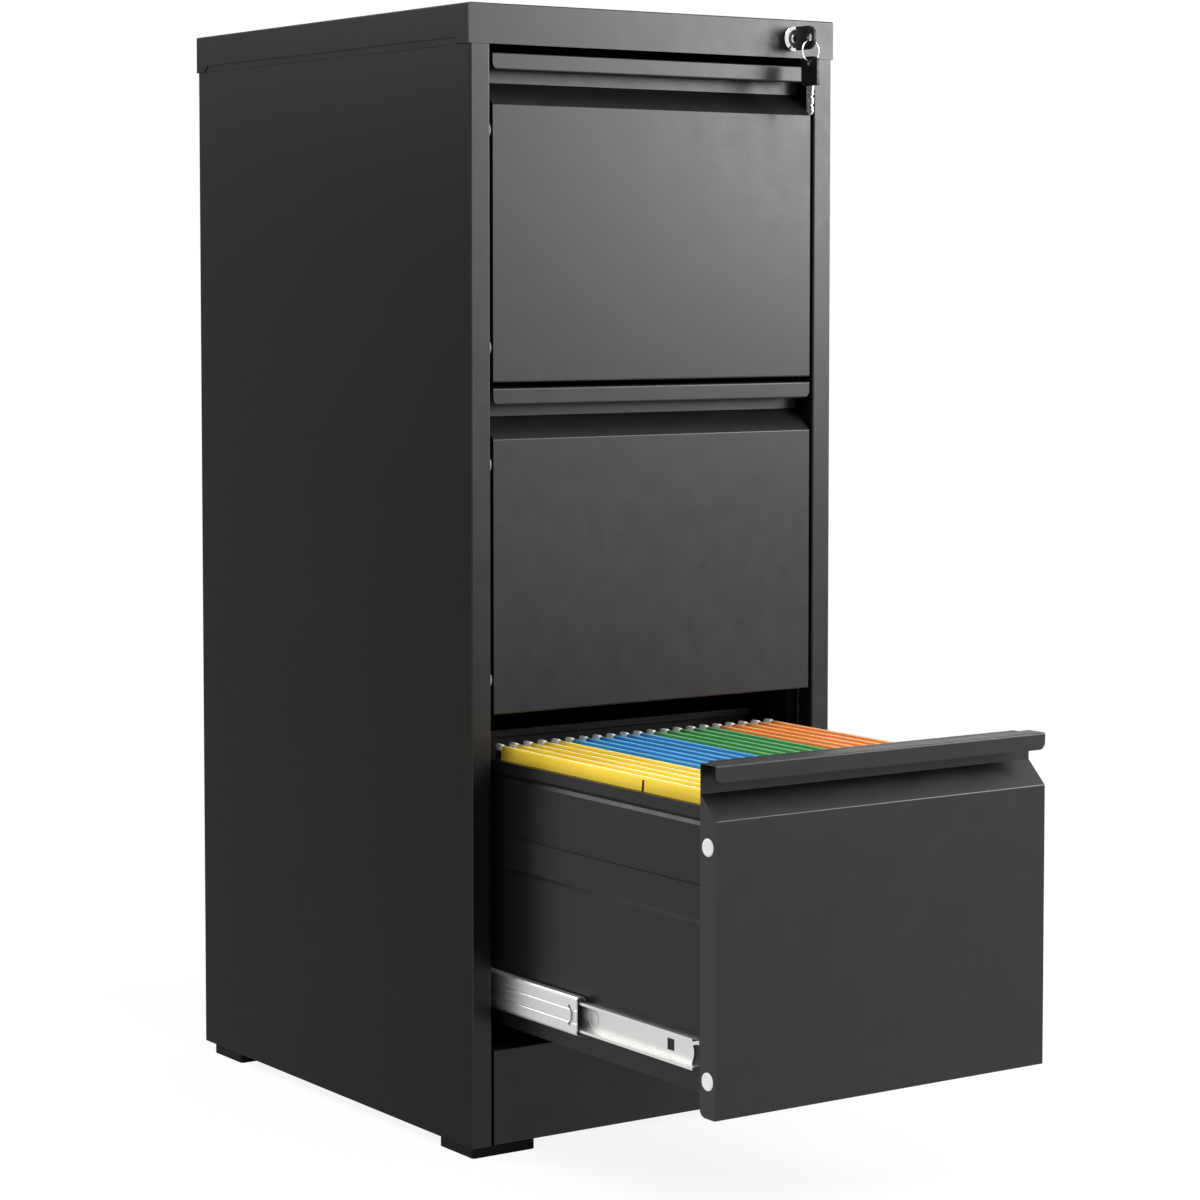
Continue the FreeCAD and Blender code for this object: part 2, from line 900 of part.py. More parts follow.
def lock_cylinder():
    """Lock housing: a domed round face on the cap's front and a barrel through it."""
    bore = plug_radius + lock_bore_gap
    face = lock_face_y - lock_flange_height
    rim = lock_flange_radius - lock_flange_edge
    end = stile_y + lock_body_end
    points = [
        (bore, face),
        ((bore + rim) / 2, face + lock_dome_shoulder),
        (rim, face + lock_dome_rise),
        (lock_flange_radius, face + lock_dome_rise + lock_flange_edge),
        (lock_flange_radius, lock_face_y),
        (bore, lock_face_y),
    ]
    barrel = few_sided(lock_body_radius, lock_x, lock_z, "y", lock_face_y, end, barrel_sides)
    hole = rod(bore, vec(lock_x, lock_face_y - margin, lock_z), vec(0, 1, 0),
               end - lock_face_y + 2 * margin)
    return fused(turned(points, lock_x, lock_z), barrel.cut(hole))


def lock_nut():
    """Hexagon nut that clamps the lock behind the cap's front."""
    start = lock_face_y + body_sheet
    end = start + lock_nut_height
    nut = few_sided(lock_nut_size / math.sqrt(3), lock_x, lock_z, "y", start, end, 6)
    hole = few_sided(lock_body_radius + lock_hole_gap, lock_x, lock_z, "y", start - margin,
                     end + margin, barrel_sides)
    return nut.cut(hole)


def lock_plug():
    """Turning core of the lock, with its keyway and the tail that carries the cam."""
    face = lock_face_y - lock_flange_height
    end = stile_y + lock_body_end
    tail = end + cam_gap + cam_thickness + plug_tail_overrun
    points = [
        (0, face - plug_nose),
        (plug_nose_radius, face - plug_nose),
        (plug_nose_radius, face),
        (plug_radius, face),
        (plug_radius, end),
        (plug_tail_radius, end),
        (plug_tail_radius, tail),
        (0, tail),
    ]
    core = turned(points, lock_x, lock_z)
    half = key_blade_thickness / 2 + keyway_gap
    rise = key_blade_width / 2 + keyway_gap
    depth = key_head_y + key_blade_length + margin
    keyway = block(lock_x - half, lock_x + half, face - plug_nose - margin, depth,
                   lock_z - rise, lock_z + rise)
    return core.cut(keyway)


def lock_cam():
    """Lever on the plug's tail with an off-centre stud that lifts the lock bar."""
    start = stile_y + lock_body_end + cam_gap
    end = stile_y + bar_setback + bar_sheet + stud_overrun
    hub = cam_hub_radius
    eye = stud_reach + cam_eye_radius
    outline = [
        (lock_x + hub, lock_z - hub, cam_hub_corner),
        (lock_x + hub, lock_z + hub, cam_hub_corner),
        (lock_x - hub, lock_z + hub, cam_hub_corner),
        (lock_x - eye, lock_z, 0),
        (lock_x - eye, lock_z - eye, cam_eye_radius),
        (lock_x, lock_z - eye, 0),
    ]
    lever = prism(outline, "y", start, start + cam_thickness, race_steps)
    hole = rod(plug_tail_radius, vec(lock_x, start - margin, lock_z), vec(0, 1, 0),
               cam_thickness + 2 * margin)
    stud = rod(stud_radius, vec(lock_x - stud_reach, start, lock_z - stud_reach), vec(0, 1, 0),
               end - start)
    return lever.cut(hole).fuse(stud)


def lock_bar():
    """Upright bar behind the right stile, its flag at the cam and one tab per drawer."""
    near = stile_y + bar_setback
    far = near + bar_sheet
    inner = bar_x - bar_width / 2
    outer = bar_x + bar_width / 2
    slot_z = lock_z - stud_reach
    slot_half = stud_radius + stud_gap
    flag_low = slot_z - bar_flag_below
    flag = block(lock_x - stud_throw - slot_half - bar_flag_end, inner, near, far,
                 flag_low, slot_z + bar_flag_above)
    slot_left = lock_x - stud_throw - slot_half
    slot_right = lock_x - stud_reach + slot_half
    slot = block(slot_left, slot_right, near - margin, far + margin,
                 slot_z - slot_half, slot_z + slot_half)
    foot = front_bottoms[-1] + tab_rise
    strip = block(inner, outer, near, far, foot, slot_z + bar_flag_above)
    tabs = []
    for bottom in front_bottoms:
        low = bottom + tab_rise
        tabs.append(block(inner - tab_reach, inner, near, far, low, low + tab_height))
    return fused(strip, flag.cut(slot), *tabs)


def lock_bar_guides():
    """Two plastic guides on the right front upright. The lower one stops the bar."""
    near = stile_y + bar_setback
    left = bar_x - bar_width / 2 - guide_gap
    right = bar_x + bar_width / 2 + guide_gap
    heights = (
        front_bottoms[0] + upper_guide_rise,
        front_bottoms[-1] + tab_rise - guide_stop_gap - guide_height,
    )
    guides = []
    for low in heights:
        outside = block(left - guide_wall, right + guide_wall, near - guide_front,
                        stile_y + upright_setback - upright_sheet, low, low + guide_height)
        channel = block(left, right, near - guide_gap, near + bar_sheet + guide_gap,
                        low - margin, low + guide_height + margin)
        guides.append(outside.cut(channel))
    return guides


key_head_y = lock_face_y - lock_flange_height - plug_nose


def key():
    """Head and blade of the key in the lock, the head upright and the teeth down."""
    half = key_head_width / 2
    head_points = [
        (0, -half, key_head_corner),
        (0, half, key_head_corner),
        (-key_head_length, half, key_head_round),
        (-key_head_length, -half, key_head_round),
    ]
    head = prism(head_points, "x", -key_head_thickness / 2, key_head_thickness / 2, key_steps)
    hole = few_sided(key_hole_radius, key_hole_setback - key_head_length, 0, "x",
                     -key_head_thickness, key_head_thickness, key_hole_sides)
    edge = key_blade_width / 2
    blade_points = [
        (0, -edge, 0),
        (key_blade_length - key_blade_tip, -edge, 0),
        (key_blade_length, 0, 0),
        (key_blade_length - key_blade_tip / 2, edge, 0),
        (0, edge, 0),
    ]
    blade = prism(blade_points, "x", -key_blade_thickness / 2, key_blade_thickness / 2)
    for i in range(tooth_count):
        spot = tooth_start + i * tooth_pitch
        depth = tooth_depth if i % 2 else tooth_shallow
        tooth_points = [
            (spot - tooth_depth - margin, -edge - margin, 0),
            (spot + tooth_depth + margin, -edge - margin, 0),
            (spot, -edge + depth, 0),
        ]
        blade = blade.cut(prism(tooth_points, "x", -key_blade_thickness, key_blade_thickness))
    pieces = [head.cut(hole), blade]
    for piece in pieces:
        piece.translate(vec(lock_x, key_head_y, lock_z))
    return pieces


def folder_places():
    """X of the left face of each folder's card, as many as fit between the drawer's rims."""
    room = 2 * (wall_face - rim_width - folder_side_gap) - folder_card - bar_strip
    count = int(room / folder_pitch) + 1
    first = -((count - 1) * folder_pitch + folder_card + bar_strip) / 2
    return [first + i * folder_pitch for i in range(count)]


def hanging_folders(bottom):
    """Folders as closed cards, hung from front to back."""
    top = rail_top(bottom) + bar_hook_height - bar_top_gap
    foot = bottom + box_rise + 2 * box_sheet + folder_floor_gap
    front = front_rail_y + rail_sheet + folder_end_gap
    back = rear_rail_y - folder_end_gap
    return [
        block(x, x + folder_card, front, back, foot, top)
        for x in folder_places()
    ]


def folder_bars(bottom):
    """Metal strip along the top of each folder, hooked over the front and rear rails."""
    seat = rail_top(bottom) + hook_seat_gap
    top = rail_top(bottom) + bar_hook_height
    low = top - bar_strip_height
    front = front_rail_y + rail_sheet + folder_end_gap / 2
    back = rear_rail_y - folder_end_gap / 2
    front_end = front - bar_hook_length
    back_end = back + bar_hook_length
    points = [
        (front, low, 0),
        (back, low, 0),
        (back, seat, 0),
        (back_end, seat, 0),
        (back_end, top, 0),
        (front_end, top, 0),
        (front_end, seat, 0),
        (front, seat, 0),
    ]
    return [
        prism(points, "x", x + folder_card, x + folder_card + bar_strip)
        for x in folder_places()
    ]


def drawer_nodes(number, bottom):
    """Pieces that move with one drawer."""
    centre = slide_centre(bottom)
    name = f"drawer_{number}_"
    side = box_side(bottom)
    return {
        name + "front": [drawer_front(bottom)],
        name + "front_liner": [front_liner(bottom)],
        name + "left_side": [side],
        name + "right_side": [fused(mirrored(side), lock_catch(bottom))],
        name + "floor": [box_floor(bottom)],
        name + "back": [box_back(bottom)],
        name + "hanging_rails": hanging_rails(bottom),
        name + "hole_plugs": hole_plugs(bottom),
        name + "slide_drawer_members": pair(drawer_member(centre)),
    }


def slide_nodes(number, bottom):
    """Pieces of one drawer's two slides that move on their own, and how far with the drawer."""
    centre = slide_centre(bottom)
    name = f"drawer_{number}_slide_"
    return {
        name + "outer_cages": (pair(outer_cage(centre)), 0.25),
        name + "middle_members": (pair(middle_member(centre)), 0.5),
        name + "inner_cages": (pair(inner_cage(centre)), 0.75),
    }


front_bottoms = [
    cap_bottom - top_gap - (i + 1) * front_height - i * drawer_gap
    for i in range(drawer_count)
]

left_panel = side_panel()
key_pieces = key()
nodes = {
    "left_side_panel": [left_panel],
    "right_side_panel": [mirrored(left_panel)],
    "back_panel": [back_panel()],
    "top_cap": [top_cap()],
    "base_pan": [base_pan()],
    "kick_plate": [kick_plate()],
    "feet": feet(),
    "slide_uprights": slide_uprights(),
    "divider_rails": divider_rails(),
    "lock_cylinder": [lock_cylinder()],
    "lock_nut": [lock_nut()],
    "lock_plug": [lock_plug()],
    "lock_cam": [lock_cam()],
    "lock_bar": [lock_bar()],
    "lock_bar_guides": lock_bar_guides(),
    "key_head": [key_pieces[0]],
    "key_blade": [key_pieces[1]],
}
for number, bottom in enumerate(front_bottoms, 1):
    opening = drawer_open if number == drawer_count else 0.0
    nodes[f"drawer_{number}_slide_cabinet_members"] = pair(cabinet_member(slide_centre(bottom)))
    moving = drawer_nodes(number, bottom)
    if number == drawer_count:
        moving["hanging_folders"] = hanging_folders(bottom)
        moving["folder_bars"] = folder_bars(bottom)
    for name, solids in moving.items():
        for solid in solids:
            solid.translate(vec(0, -opening, 0))
        nodes[name] = solids
    for name, (solids, share) in slide_nodes(number, bottom).items():
        for solid in solids:
            solid.translate(vec(0, -opening * share, 0))
        nodes[name] = solids

os.makedirs("parts", exist_ok=True)
for name, solids in nodes.items():
    shape = solids[0] if len(solids) == 1 else Part.makeCompound(solids)
    shape.exportStep(f"parts/{name}.step")
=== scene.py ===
import math

import bmesh
import bpy
from mathutils import Matrix, Vector


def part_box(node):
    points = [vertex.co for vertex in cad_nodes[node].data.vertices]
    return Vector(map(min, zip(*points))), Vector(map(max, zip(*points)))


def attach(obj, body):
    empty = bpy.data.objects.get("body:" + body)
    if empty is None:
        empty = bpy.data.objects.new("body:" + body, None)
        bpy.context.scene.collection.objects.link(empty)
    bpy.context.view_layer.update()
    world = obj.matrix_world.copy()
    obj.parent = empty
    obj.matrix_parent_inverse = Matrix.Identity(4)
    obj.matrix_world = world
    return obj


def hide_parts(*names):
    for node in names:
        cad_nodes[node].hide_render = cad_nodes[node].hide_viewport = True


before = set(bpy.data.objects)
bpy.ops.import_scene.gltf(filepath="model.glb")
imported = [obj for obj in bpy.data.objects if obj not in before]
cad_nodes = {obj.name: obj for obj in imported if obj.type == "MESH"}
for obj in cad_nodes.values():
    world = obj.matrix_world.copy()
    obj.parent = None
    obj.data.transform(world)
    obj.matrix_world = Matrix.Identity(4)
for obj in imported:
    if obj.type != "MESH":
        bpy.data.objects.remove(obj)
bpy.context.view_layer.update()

# Three-drawer steel filing cabinet with its bottom drawer open. Lengths are in metres.

DRAWERS = ("drawer_1", "drawer_2", "drawer_3")
SIDES = (-1, 1)

# Camera, level with the upper drawer and looking slightly down from the front left
CAMERA_PLACE = (-1.7355, -2.5492, 0.7830)
CAMERA_AZIMUTH = 34.231
CAMERA_TILT = 3.488
CAMERA_LENS = 98.47
CAMERA_SENSOR = 36.0
CAMERA_SHIFT = -0.0975

# Studio: lamps are (name, place, spot they face, size, power)
WORLD_LEVEL = 0.45
FLOOR_SIZE = 60.0
FLOOR_GLOW = 0.90
FLOOR_SHADOW_REACH = 0.7
FLOOR_FADE_REACH = 2.6
LAMPS = (
    ("key_softbox", (1.706, -1.426, 1.35), (0.1, -0.1, 0.75), (0.9, 1.0), 62),
    ("fill_softbox", (2.45, -2.55, 1.80), (0.0, -0.1, 0.85), (1.8, 2.0), 72),
    ("side_softbox", (-1.50, 1.90, 1.90), (-0.2, 0.2, 0.80), (1.2, 1.2), 36),
    ("top_softbox", (-0.70, -1.00, 2.90), (-0.05, -0.15, 0.45), (1.6, 1.6), 60),
)

# Folders in the open drawer, from the left
FOLDER_PITCH = 0.0152
FOLDER_GROUPS = (("yellow", 5), ("blue", 6), ("green", 5), ("orange", 5))
FOLDER_TOP_HALF = 0.0011
FOLDER_BELLY_HALF = 0.0050
FOLDER_RISE = 0.0004
# Band below a folder's top whose faces take a lighter card: painted highlight along the fold
CROWN_HIGHLIGHT_DEPTH = 1.6 * FOLDER_TOP_HALF
SLIT_BEHIND_FRONT = 0.098
SLIT_LENGTH = 0.0032
SLIT_DEPTH = 0.0007
SLIT_ROWS = 5
HOOK_TIP = (0.0046, 0.0115, 0.0062)
HOOK_TIP_ROUND = 0.0016
HOOK_TIP_RISE = 0.0007
HOOK_TIP_PROUD = 0.0004

# Loose ring and second key that hang from the key in the lock
KEY_HOLE_SETBACK = 0.0070
KEY_HOLE_RADIUS = 0.0039
RING_RADIUS = 0.0097
RING_WIRE = 0.00062
RING_SEAT = 0.00035
SPARE_TURN = 4.0
SPARE_HEAD_WIDTH = 0.0220
SPARE_HEAD_HEIGHT = 0.0270
SPARE_HEAD_THICKNESS = 0.0030
SPARE_HOLE_DROP = 0.0062
SPARE_HOLE_RADIUS = 0.0026
SPARE_BLADE_WIDTH = 0.0086
SPARE_BLADE_LENGTH = 0.0272
SPARE_BLADE_THICKNESS = 0.0024
SPARE_TEETH = (0.0007, 0.0016, 0.0008, 0.0019, 0.0010)
SPARE_TEETH_START = 0.0060
SPARE_TEETH_PITCH = 0.0040
KEY_EDGE_ROUND = 0.0005

# Balls in the slides' cages
BALL_RADIUS = 0.0019
BALL_COUNT = 9
BALL_END_GAP = 0.009
BALL_INSET = {"outer": 0.0033, "inner": 0.0035}
BALL_SINK = 0.0002

# Plug caps
PLUG_RADIUS = 0.0075
PLUG_HEIGHT = 0.0012


def set_inputs(node, **values):
    """Sets a node's sockets by name, with underscores for spaces."""
    for name, value in values.items():
        node.inputs[name.replace("_", " ")].default_value = value


def ranged(tree, value, **limits):
    """A signal mapped from one range onto another."""
    node = tree.nodes.new("ShaderNodeMapRange")
    set_inputs(node, **limits)
    tree.links.new(value, node.inputs["Value"])
    return node.outputs["Result"]


class Finish:
    """A material with its shader and helpers for the nodes behind it."""

    def __init__(self, name, colour, roughness, metallic=0.0, specular=0.5):
        self.material = bpy.data.materials.new(name)
        self.material.use_nodes = True
        self.tree = self.material.node_tree
        self.shader = self.tree.nodes["Principled BSDF"]
        set_inputs(self.shader, Base_Color=(*colour, 1), Roughness=roughness, Metallic=metallic,
                   Specular_IOR_Level=specular)
        self.colour = colour
        self.coords = self.tree.nodes.new("ShaderNodeTexCoord").outputs["Object"]

    def noise(self, scale, detail=2.0, stretch=(1, 1, 1), rough=0.5):
        """Noise whose spots are 1/scale metres across, stretched along an axis."""
        mapping = self.tree.nodes.new("ShaderNodeMapping")
        set_inputs(mapping, Scale=stretch)
        noise = self.tree.nodes.new("ShaderNodeTexNoise")
        set_inputs(noise, Scale=scale, Detail=detail, Roughness=rough)
        self.tree.links.new(self.coords, mapping.inputs["Vector"])
        self.tree.links.new(mapping.outputs["Vector"], noise.inputs["Vector"])
        return noise.outputs["Fac"]

    def spread(self, value, low, high):
        """Maps a 0.3 to 0.7 signal onto a range."""
        return ranged(self.tree, value, From_Min=0.3, From_Max=0.7, To_Min=low, To_Max=high)

    def vary_colour(self, value, amount, colour=None):
        """Lets a colour drift between two shades with a signal."""
        base = colour or self.colour
        mix = self.tree.nodes.new("ShaderNodeMix")
        mix.data_type = "RGBA"
        low = tuple(c * (1 - amount) for c in base)
        high = tuple(min(1, c * (1 + amount)) for c in base)
        mix.inputs["A"].default_value = (*low, 1)
        mix.inputs["B"].default_value = (*high, 1)
        self.tree.links.new(self.spread(value, 0, 1), mix.inputs["Factor"])
        self.tree.links.new(mix.outputs["Result"], self.shader.inputs["Base Color"])

    def front_faces(self, plane, blend):
        """1 on the faces that lie in a plane across Y, fading to 0 behind it."""
        split = self.tree.nodes.new("ShaderNodeSeparateXYZ")
        self.tree.links.new(self.coords, split.inputs["Vector"])
        return ranged(self.tree, split.outputs["Y"], From_Min=plane + blend, From_Max=plane)

    def zone(self, mask, colour, value, amount):
        """Another colour where a mask is 1."""
        old = self.shader.inputs["Base Color"].links[0].from_socket
        self.vary_colour(value, amount, colour=colour)
        new = self.shader.inputs["Base Color"].links[0].from_socket
        mix = self.tree.nodes.new("ShaderNodeMix")
        mix.data_type = "RGBA"
        self.tree.links.new(mask, mix.inputs["Factor"])
        self.tree.links.new(old, mix.inputs["A"])
        self.tree.links.new(new, mix.inputs["B"])
        self.tree.links.new(mix.outputs["Result"], self.shader.inputs["Base Color"])

    def vary_roughness(self, value, low, high):
        """Lets the roughness drift between two values with a signal."""
        self.tree.links.new(self.spread(value, low, high), self.shader.inputs["Roughness"])

    def bump(self, value, height, strength=1.0):
        """Relief of a height in metres."""
        node = self.tree.nodes.new("ShaderNodeBump")
        set_inputs(node, Strength=strength, Distance=height)
        last = self.shader.inputs["Normal"].links
        if last:
            self.tree.links.new(last[0].from_socket, node.inputs["Normal"])
        self.tree.links.new(value, node.inputs["Height"])
        self.tree.links.new(node.outputs["Normal"], self.shader.inputs["Normal"])


def powder_coat(name, colour, specular, front=None):
    """Satin powder coat with its fine orange-peel grain. Given a front colour, the front faces
    get a painted sheen: that lighter colour, made metallic.
    """
    finish = Finish(name, colour, 0.37, specular=specular)
    blotches = finish.noise(9, 3)
    finish.vary_colour(blotches, 0.07)
    if front:
        # Painted sheen: faces in the stiles' plane take the lighter front colour and turn
        # metallic.
        mask = finish.front_faces(STILE_PLANE, STILE_BLEND)
        finish.zone(mask, front, blotches, 0.04)
        finish.tree.links.new(mask, finish.shader.inputs["Metallic"])
    finish.vary_roughness(finish.noise(60, 4), 0.34, 0.40)
    finish.bump(finish.noise(1100, 2), 0.00006, 0.35)
    finish.bump(finish.noise(160, 1), 0.00008, 0.25)
    return finish.material


def zinc(name, colour, roughness, along):
    """Rolled and zinc-plated steel, brushed along an axis."""
    finish = Finish(name, colour, roughness, metallic=1.0)
    finish.vary_colour(finish.noise(20, 4, along), 0.06)
    finish.vary_roughness(finish.noise(300, 3, along), roughness - 0.05, roughness + 0.06)
    finish.bump(finish.noise(900, 3, along), 0.00002, 0.4)
    return finish.material


def plated(name, colour, roughness):
    """Bright plating with faint polishing marks."""
    finish = Finish(name, colour, roughness, metallic=1.0)
    finish.vary_colour(finish.noise(120, 3), 0.05)
    finish.vary_roughness(finish.noise(500, 4), roughness * 0.6, roughness * 1.5)
    finish.bump(finish.noise(1500, 2), 0.00001, 0.4)
    return finish.material


def lock_face(name, colour, roughness, dark):
    """Bright plating with painted shade for the keyway: a dark colour inside a small circle
    round the lock's axis.
    """
    lo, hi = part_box("lock_plug")
    finish = Finish(name, colour, roughness, metallic=1.0)
    split = finish.tree.nodes.new("ShaderNodeSeparateXYZ")
    finish.tree.links.new(finish.coords, split.inputs["Vector"])
    across = finish.tree.nodes.new("ShaderNodeCombineXYZ")
    finish.tree.links.new(split.outputs["X"], across.inputs["X"])
    finish.tree.links.new(split.outputs["Z"], across.inputs["Z"])
    distance = finish.tree.nodes.new("ShaderNodeVectorMath")
    distance.operation = "DISTANCE"
    finish.tree.links.new(across.outputs["Vector"], distance.inputs[0])
    distance.inputs[1].default_value = ((lo.x + hi.x) / 2, 0, (lo.z + hi.z) / 2)
    # Painted shade: the disc round the axis takes the dark colour in place of the keyway's
    # shade.
    mask = ranged(finish.tree, distance.outputs["Value"], From_Min=KEYWAY_SHADE_RADIUS + KEYWAY_SHADE_BLEND,
                  From_Max=KEYWAY_SHADE_RADIUS)
    marks = finish.noise(120, 3)
    finish.vary_colour(marks, 0.05)
    finish.zone(mask, dark, marks, 0.10)
    finish.vary_roughness(finish.noise(500, 4), roughness * 0.6, roughness * 1.5)
    return finish.material


def moulded(name, colour, roughness, grain=0.00004, specular=0.15):
    """Moulded plastic with a fine spark-eroded grain."""
    finish = Finish(name, colour, roughness, specular=specular)
    finish.vary_colour(finish.noise(80, 3), 0.08)
    finish.vary_roughness(finish.noise(250, 3), roughness - 0.06, roughness + 0.08)
    finish.bump(finish.noise(2200, 2), grain, 0.4)
    return finish.material


def card(name, colour):
    """Dyed folder card: matt, with fibres along it and slightly uneven dye."""
    finish = Finish(name, colour, 0.62, specular=0.3)
    finish.vary_colour(finish.noise(35, 5, (1, 0.35, 1)), 0.10)
    finish.vary_roughness(finish.noise(400, 3), 0.55, 0.72)
    finish.bump(finish.noise(1300, 4, (1, 0.25, 1)), 0.00008, 0.5)
    return finish.material


# Finishes. The body's front faces, back to the stiles' plane, carry a painted sheen: a lighter
# grey made metallic, so they read brighter than the sides.
ALONG_Y = (1, 0.03, 1)
STILE_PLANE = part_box("kick_plate")[0].y + 0.0005
STILE_BLEND = 0.0011
# Radius and soft edge of the lock plug's disc of painted keyway shade
KEYWAY_SHADE_RADIUS = 0.0024
KEYWAY_SHADE_BLEND = 0.0003
CABINET_GREY = (0.0042, 0.0043, 0.0045)
SHEEN_PAINTED_GREY = (0.0310, 0.0313, 0.0320)
BODY = powder_coat("body_powder_coat_and_painted_sheen", CABINET_GREY, 0.045, SHEEN_PAINTED_GREY)
FRONT = powder_coat("front_powder_coat", CABINET_GREY, 0.32)
BOX = powder_coat("drawer_powder_coat", (0.0070, 0.0071, 0.0073), 0.17)
DARK = powder_coat("rail_black_paint", (0.0060, 0.0060, 0.0062), 0.12)
SLIDE = zinc("slide_zinc", (0.64, 0.64, 0.63), 0.38, ALONG_Y)
CAGE = zinc("cage_zinc", (0.55, 0.55, 0.54), 0.33, ALONG_Y)
STRIP = zinc("folder_bar_steel", (0.72, 0.72, 0.73), 0.24, ALONG_Y)
FITTING = zinc("lock_fitting_zinc", (0.62, 0.60, 0.55), 0.35, (1, 1, 0.1))
CHROME = plated("lock_chrome", (0.80, 0.80, 0.80), 0.10)
NICKEL = plated("key_nickel", (0.74, 0.73, 0.71), 0.20)
PLUG_FACE = lock_face("lock_plug_chrome_and_keyway_shade", (0.80, 0.80, 0.80), 0.14, (0.020, 0.020, 0.020))
DULL_NICKEL = plated("spare_key_nickel", (0.78, 0.77, 0.75), 0.42)
BALL = plated("ball_steel", (0.62, 0.62, 0.63), 0.12)
BLACK = moulded("black_plastic", (0.0065, 0.0065, 0.0068), 0.48, specular=0.03)
KEY_BLACK = moulded("key_head_plastic", (0.0060, 0.0060, 0.0063), 0.38)
PLUG = moulded("plug_plastic", (0.66, 0.66, 0.65), 0.42)
PAPER = card("paper", (0.80, 0.79, 0.76))
TIP = moulded("hook_tip_plastic", (0.84, 0.83, 0.82), 0.35)
# Near-black card for the folders' slits: painted shade in the sunk faces
SHADE = card("slit_shade", (0.012, 0.012, 0.012))
CARDS = {
    "yellow": card("yellow_card", (0.86, 0.60, 0.045)),
    "blue": card("blue_card", (0.018, 0.215, 0.530)),
    "green": card("green_card", (0.035, 0.250, 0.060)),
    "orange": card("orange_card", (0.760, 0.215, 0.030)),
}
# Lighter cards for the folders' crowns: painted highlight along each top fold
CROWN_HIGHLIGHTS = {
    "yellow": card("yellow_crown_highlight", (0.90, 0.78, 0.28)),
    "blue": card("blue_crown_highlight", (0.16, 0.44, 0.70)),
    "green": card("green_crown_highlight", (0.18, 0.47, 0.20)),
    "orange": card("orange_crown_highlight", (0.88, 0.47, 0.19)),
}

FINISHES = {
    "left_side_panel": BODY, "right_side_panel": BODY, "back_panel": BODY, "top_cap": BODY,
    "base_pan": BODY, "kick_plate": BODY, "feet": BLACK, "slide_uprights": BOX,
    "divider_rails": BOX, "lock_cylinder": CHROME, "lock_nut": FITTING, "lock_plug": PLUG_FACE,
    "lock_cam": FITTING, "lock_bar": FITTING, "lock_bar_guides": BLACK, "key_head": KEY_BLACK,
    "key_blade": NICKEL, "hanging_folders": PAPER, "folder_bars": STRIP,
}
DRAWER_FINISHES = {
    "front": FRONT, "front_liner": FRONT, "left_side": BOX, "right_side": BOX, "floor": BOX,
    "back": BOX, "hanging_rails": DARK, "hole_plugs": PLUG, "slide_cabinet_members": SLIDE,
    "slide_middle_members": SLIDE, "slide_drawer_members": SLIDE, "slide_outer_cages": CAGE,
    "slide_inner_cages": CAGE,
}


def paint(piece, material):
    """Gives a piece one material."""
    piece.data.materials.clear()
    piece.data.materials.append(material)


def dress_frame():
    """Gives every CAD piece its finish."""
    for drawer in DRAWERS:
        for name, material in DRAWER_FINISHES.items():
            paint(cad_nodes[f"{drawer}_{name}"], material)
    for name, material in FINISHES.items():
        paint(cad_nodes[name], material)


def new_piece(name, mesh, body, materials, smooth=None):
    """Puts a bmesh in the scene as a piece that rides on a body."""
    data = bpy.data.meshes.new(name)
    mesh.to_mesh(data)
    mesh.free()
    piece = bpy.data.objects.new(name, data)
    bpy.context.scene.collection.objects.link(piece)
    for material in materials:
        data.materials.append(material)
    if smooth is not None:
        data.shade_smooth()
        data.set_sharp_from_angle(angle=math.radians(smooth))
    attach(piece, body)
    return piece


def ring_of(mesh, spots):
    """Vertices at a list of places."""
    return [mesh.verts.new(spot) for spot in spots]


def bridge(mesh, first, second, closed=True, material=0):
    """Faces between two rows of vertices."""
    count = len(first)
    last = count if closed else count - 1
    for i in range(last):
        j = (i + 1) % count
        face = mesh.faces.new((first[i], first[j], second[j], second[i]))
        face.material_index = material


def lathe(mesh, profile, matrix, steps=32):
    """Turns (radius, height) points about local Z, with a flat cap at each end."""
    rows = []
    for radius, height in profile:
        angles = [2 * math.pi * i / steps for i in range(steps)]
        rows.append(ring_of(mesh, [
            matrix @ Vector((radius * math.cos(a), radius * math.sin(a), height))
            for a in angles
        ]))
    for first, second in zip(rows, rows[1:]):
        bridge(mesh, first, second)
    mesh.faces.new(rows[0][::-1])
    mesh.faces.new(rows[-1])


def folder_half_width(share):
    """Half the thickness of a filled folder at a share of its depth from the top."""
    belly = math.sin(math.pi * min(1.0, share * 1.15)) ** 0.7 if share < 0.87 else 0.35
    return FOLDER_TOP_HALF + (FOLDER_BELLY_HALF - FOLDER_TOP_HALF) * belly


def folder_section(x, top, foot, pinch=0.0):
    """Outline of a hung folder seen from its end, as (x, z) points. A pinch draws in the upper
    rows of both leaves."""
    depth = top - foot
    rows = [(i / 14) ** 1.8 for i in range(1, 15)]
    left = []
    for i, share in enumerate(rows):
        half = folder_half_width(share)
        if 0 < i < SLIT_ROWS:
            half -= pinch
        left.append((x - half, top - FOLDER_TOP_HALF - share * depth * 0.98))
    right = [(2 * x - a, z) for a, z in left][::-1]
    arc = [math.radians(180 - 30 * i) for i in range(1, 6)]
    crown = [
        (x + FOLDER_TOP_HALF * math.cos(a), top - FOLDER_TOP_HALF * (1 - math.sin(a)))
        for a in arc
    ]
    return left[::-1] + crown + right


